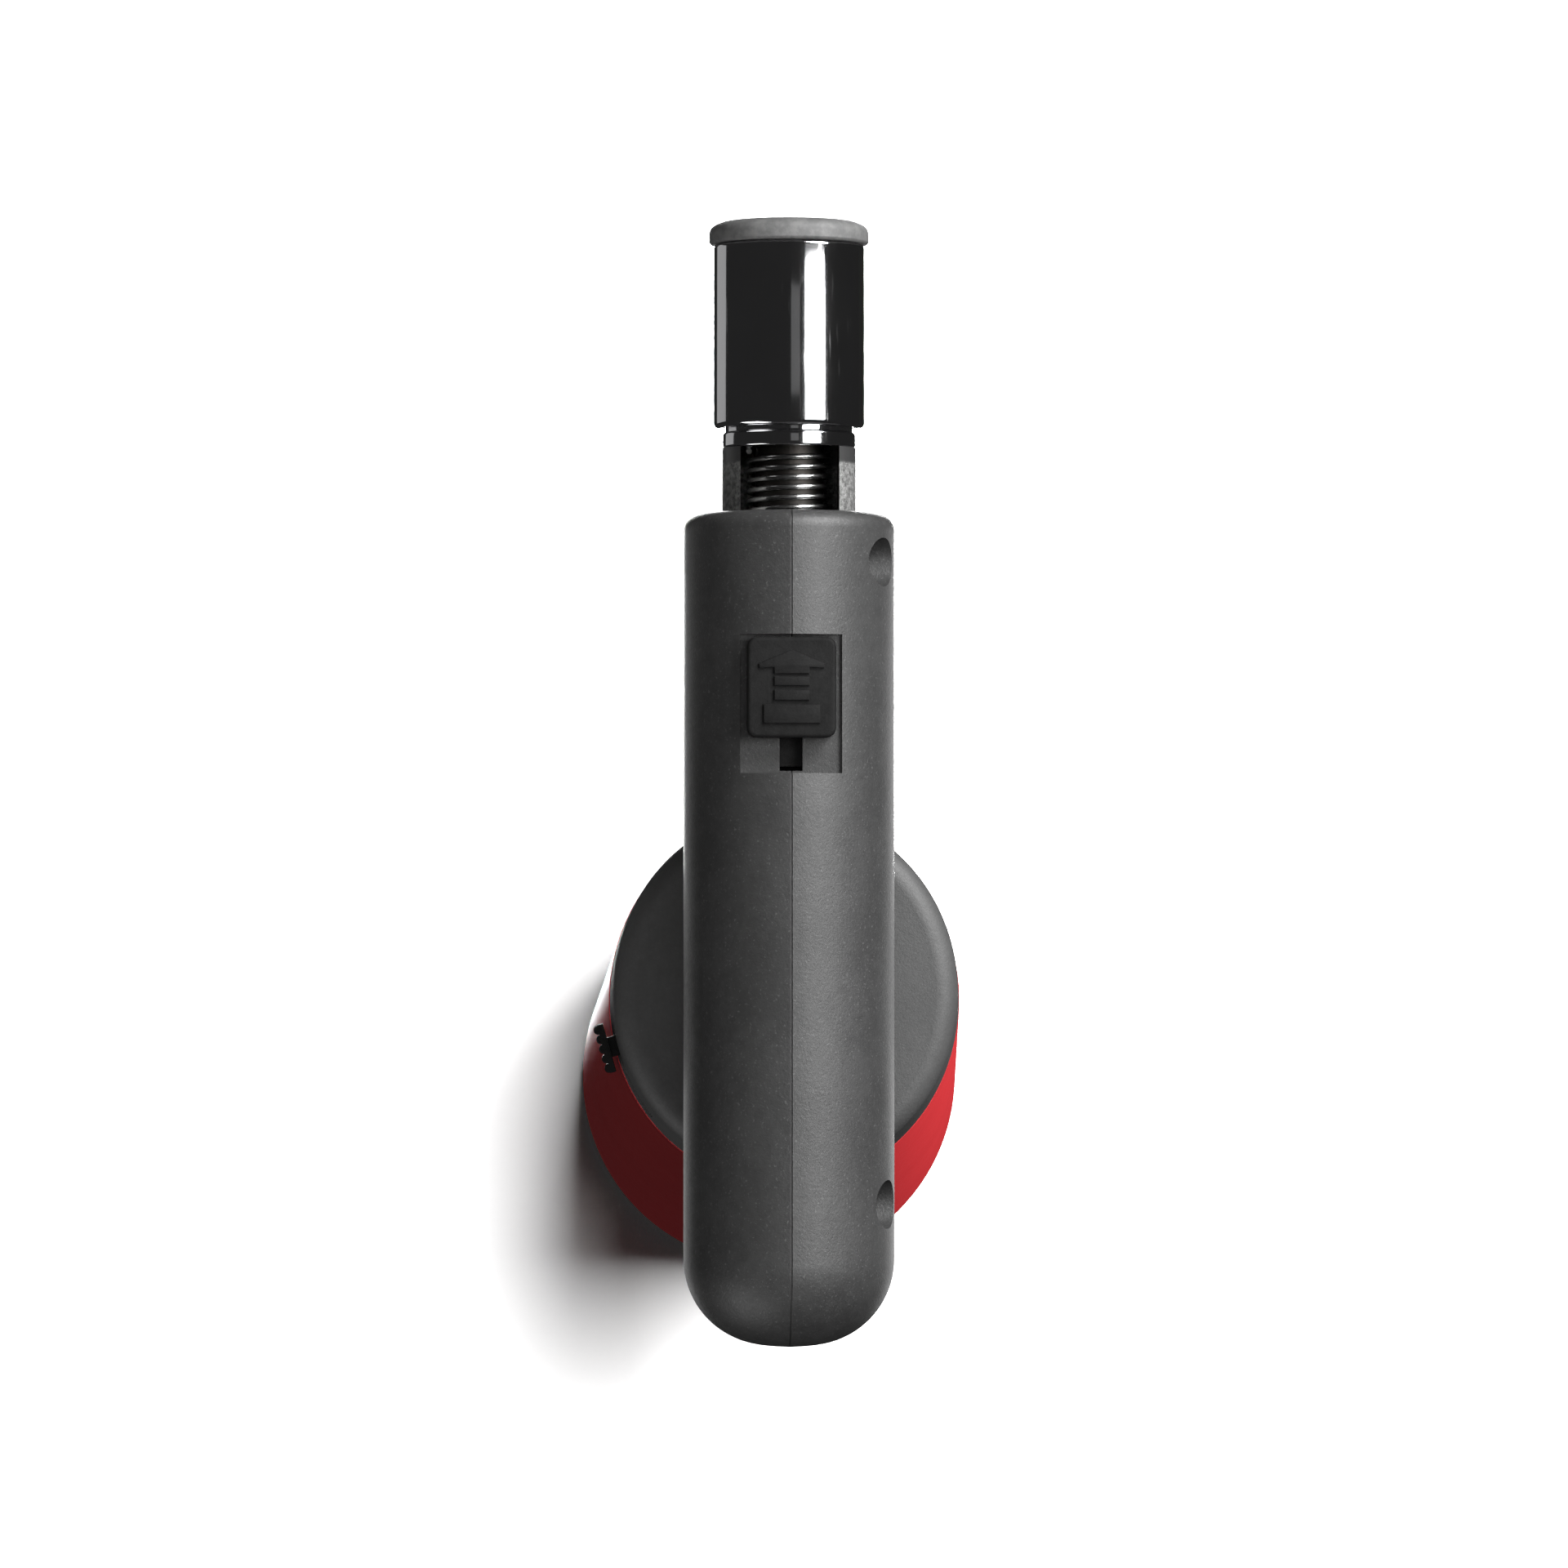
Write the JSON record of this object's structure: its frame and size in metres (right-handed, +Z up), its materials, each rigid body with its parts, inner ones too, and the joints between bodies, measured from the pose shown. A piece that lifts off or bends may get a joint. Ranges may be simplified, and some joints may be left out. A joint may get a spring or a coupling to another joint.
{
  "type": "butane torch",
  "caption": "Table-top butane torch: long burner head on a raked oval fuel-tank handle, with a slide igniter and a flame-size lever.",
  "frame": {"origin": "centre of the base's underside, which is the mouth of the refill socket", "axes": "+X the way the flame leaves the burner, +Z up out of the tank, +Y the torch's left side, where the flame lever is"},
  "size_m": [0.1484, 0.0566, 0.157],
  "materials": {
    "housing": "fine matte moulded grain",
    "collar": "fine matte moulded grain",
    "black": "satin black moulding",
    "piezo": "satin",
    "tank": "natural translucent nylon",
    "shell": "soft satin red paint",
    "chrome": "bright chrome plate",
    "lip": "matte grey fired",
    "cast": "cast grain",
    "spring": "drawn wire",
    "steel": "plain",
    "brass": "turned",
    "blackened": "blackened by heat",
    "ceramic": "glazed white",
    "lead": "flexible insulation",
    "seal": "moulded rubber"
  },
  "bodies": {
    "torch": {"housing_left": "housing", "housing_right": "housing", "housing_screws": "steel", "mount_screws": "steel", "burner_tube": "chrome", "burner_lip": "lip", "burner_neck": "chrome", "flame_holder": "brass", "burner_yoke": "cast", "mixing_tube": "blackened", "gas_jet": "brass", "burner_spring": "spring", "gas_pipe": "brass", "electrode_insulator": "ceramic", "ignition_electrode": "steel", "spark_lead": "lead", "piezo_body": "piezo", "piezo_spring": "spring", "rocker_pin": "steel", "valve_body": "brass", "valve_spring": "spring", "valve_seal": "seal", "lever_clip": "steel", "collar": "collar", "tank_shell": "shell", "fuel_tank": "tank", "tank_lid": "tank", "tank_seal": "seal", "dip_tube": "tank", "base_cap": "collar", "foot_ring": "seal", "refill_valve_body": "brass", "refill_spring": "spring", "refill_seal": "seal"},
    "slider": {"ignition_slide": "black", "slide_carriage": "black", "piezo_plunger": "black"},
    "rocker": {"valve_rocker": "black"},
    "stem": {"valve_stem": "brass"},
    "lever": {"adjust_lever": "black"},
    "refill": {"refill_stem": "brass"}
  },
  "joints": [
    {"name": "ignition_slide", "type": "slide", "parent": "torch", "child": "slider", "axis": [1, 0, 0], "range_m": [-0.0042, 0], "stiffness_N_per_m": 500, "springref_m": 0.001, "deforming": ["piezo_spring"]},
    {"name": "rocker_turn", "type": "hinge", "parent": "torch", "child": "rocker", "pos_m": [0.009, 0, 0.13335], "axis": [0, 1, 0], "range_deg": [-17.5, 0]},
    {"name": "stem_lift", "type": "slide", "parent": "torch", "child": "stem", "axis": [0, 0, 1], "range_m": [0, 0.00165], "deforming": ["valve_spring"]},
    {"name": "flame_lever", "type": "hinge", "parent": "torch", "child": "lever", "pos_m": [0.015, 0, 0.115], "axis": [0, 0, 1], "range_deg": [0, 22]},
    {"name": "refill_push", "type": "slide", "parent": "torch", "child": "refill", "axis": [0, 0, 1], "range_m": [0, 0.0018], "stiffness_N_per_m": 300, "springref_m": -0.0003, "deforming": ["refill_spring"]}
  ],
  "couplings": [
    {"joint": "rocker_turn", "follows": "ignition_slide", "rad_per_m": 72.722},
    {"joint": "stem_lift", "follows": "ignition_slide", "ratio": -0.39286}
  ]
}
